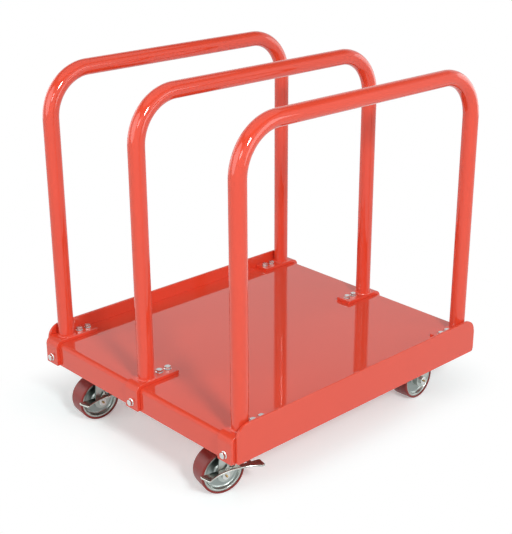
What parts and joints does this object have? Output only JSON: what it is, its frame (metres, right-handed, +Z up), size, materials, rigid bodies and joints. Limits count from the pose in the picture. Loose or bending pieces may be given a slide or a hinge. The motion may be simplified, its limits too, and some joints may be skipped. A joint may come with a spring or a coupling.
{
  "type": "panel cart",
  "caption": "Wheeled platform cart with upright side plates and tall tube hoops along the deck that hold sheets on edge; swivel casters, the rear ones with rocker brake pedals.",
  "frame": {"origin": "on the floor under the middle of the cart", "axes": "+X towards the front end, away from the braked casters; +Y to the left; +Z up"},
  "size_m": [0.7982, 0.666, 0.8263],
  "materials": {
    "red_paint": "gloss",
    "zinc_fastener": "satin zinc",
    "zinc_plate": "satin zinc",
    "wheel_metal": "turned satin",
    "maroon_tread": "satin",
    "bearing_bronze": "satin"
  },
  "bodies": {
    "chassis": {"deck_pan": "red_paint", "side_plate_right": "red_paint", "side_plate_left": "red_paint", "caster_channel_rear": "red_paint", "caster_channel_front": "red_paint", "deck_rib": "red_paint", "hoop_right": "red_paint", "hoop_middle": "red_paint", "hoop_left": "red_paint", "foot_strap_right_rear": "red_paint", "foot_strap_right_front": "red_paint", "foot_strap_middle_rear": "red_paint", "foot_strap_middle_front": "red_paint", "foot_strap_left_rear": "red_paint", "foot_strap_left_front": "red_paint", "deck_bolts": "zinc_fastener", "deck_bolt_nuts": "zinc_fastener", "end_bolts": "zinc_fastener", "end_bolt_nuts": "zinc_fastener", "mount_bolts": "zinc_fastener", "mount_nuts": "zinc_fastener", "caster_plate_rear_right": "zinc_plate", "bearing_cage_rear_right": "zinc_plate", "kingpin_rear_right": "zinc_plate", "caster_plate_rear_left": "zinc_plate", "bearing_cage_rear_left": "zinc_plate", "kingpin_rear_left": "zinc_plate", "caster_plate_front_right": "zinc_plate", "bearing_cage_front_right": "zinc_plate", "kingpin_front_right": "zinc_plate", "caster_plate_front_left": "zinc_plate", "bearing_cage_front_left": "zinc_plate", "kingpin_front_left": "zinc_plate"},
    "swivel_rear_right": {"fork_rear_right": "zinc_plate", "axle_bolt_rear_right": "zinc_fastener", "axle_nut_rear_right": "zinc_fastener", "axle_bush_rear_right": "bearing_bronze"},
    "wheel_rear_right": {"wheel_core_rear_right": "wheel_metal", "tread_rear_right": "maroon_tread"},
    "brake_pedal_body_rear_right": {"brake_pedal_rear_right": "zinc_plate"},
    "swivel_rear_left": {"fork_rear_left": "zinc_plate", "axle_bolt_rear_left": "zinc_fastener", "axle_nut_rear_left": "zinc_fastener", "axle_bush_rear_left": "bearing_bronze"},
    "wheel_rear_left": {"wheel_core_rear_left": "wheel_metal", "tread_rear_left": "maroon_tread"},
    "brake_pedal_body_rear_left": {"brake_pedal_rear_left": "zinc_plate"},
    "swivel_front_right": {"fork_front_right": "zinc_plate", "axle_bolt_front_right": "zinc_fastener", "axle_nut_front_right": "zinc_fastener", "axle_bush_front_right": "bearing_bronze"},
    "wheel_front_right": {"wheel_core_front_right": "wheel_metal", "tread_front_right": "maroon_tread"},
    "swivel_front_left": {"fork_front_left": "zinc_plate", "axle_bolt_front_left": "zinc_fastener", "axle_nut_front_left": "zinc_fastener", "axle_bush_front_left": "bearing_bronze"},
    "wheel_front_left": {"wheel_core_front_left": "wheel_metal", "tread_front_left": "maroon_tread"}
  },
  "joints": [
    {"name": "swivel_turn_rear_right", "type": "hinge", "parent": "chassis", "child": "swivel_rear_right", "pos_m": [-0.311, -0.222, 0.115], "axis": [0, 0, 1], "continuous": true},
    {"name": "wheel_spin_rear_right", "type": "hinge", "parent": "swivel_rear_right", "child": "wheel_rear_right", "pos_m": [-0.33235, -0.21668, 0.05], "axis": [-0.2419, -0.9703, 0], "continuous": true},
    {"name": "pedal_rock_rear_right", "type": "hinge", "parent": "swivel_rear_right", "child": "brake_pedal_body_rear_right", "pos_m": [-0.32669, -0.25184, 0.075], "axis": [0.2419, 0.9703, 0], "range_deg": [0, 8]},
    {"name": "swivel_turn_rear_left", "type": "hinge", "parent": "chassis", "child": "swivel_rear_left", "pos_m": [-0.311, 0.222, 0.115], "axis": [0, 0, 1], "continuous": true},
    {"name": "wheel_spin_rear_left", "type": "hinge", "parent": "swivel_rear_left", "child": "wheel_rear_left", "pos_m": [-0.33284, 0.22468, 0.05], "axis": [-0.1219, -0.9925, 0], "continuous": true},
    {"name": "pedal_rock_rear_left", "type": "hinge", "parent": "swivel_rear_left", "child": "brake_pedal_body_rear_left", "pos_m": [-0.32293, 0.19047, 0.075], "axis": [0.1219, 0.9925, 0], "range_deg": [0, 8]},
    {"name": "swivel_turn_front_right", "type": "hinge", "parent": "chassis", "child": "swivel_front_right", "pos_m": [0.311, -0.222, 0.115], "axis": [0, 0, 1], "continuous": true},
    {"name": "wheel_spin_front_right", "type": "hinge", "parent": "swivel_front_right", "child": "wheel_front_right", "pos_m": [0.28901, -0.22277, 0.05], "axis": [0.0349, -0.9994, 0], "continuous": true},
    {"name": "swivel_turn_front_left", "type": "hinge", "parent": "chassis", "child": "swivel_front_left", "pos_m": [0.311, 0.222, 0.115], "axis": [0, 0, 1], "continuous": true},
    {"name": "wheel_spin_front_left", "type": "hinge", "parent": "swivel_front_left", "child": "wheel_front_left", "pos_m": [0.28908, 0.22392, 0.05], "axis": [-0.0872, -0.9962, 0], "continuous": true}
  ]
}
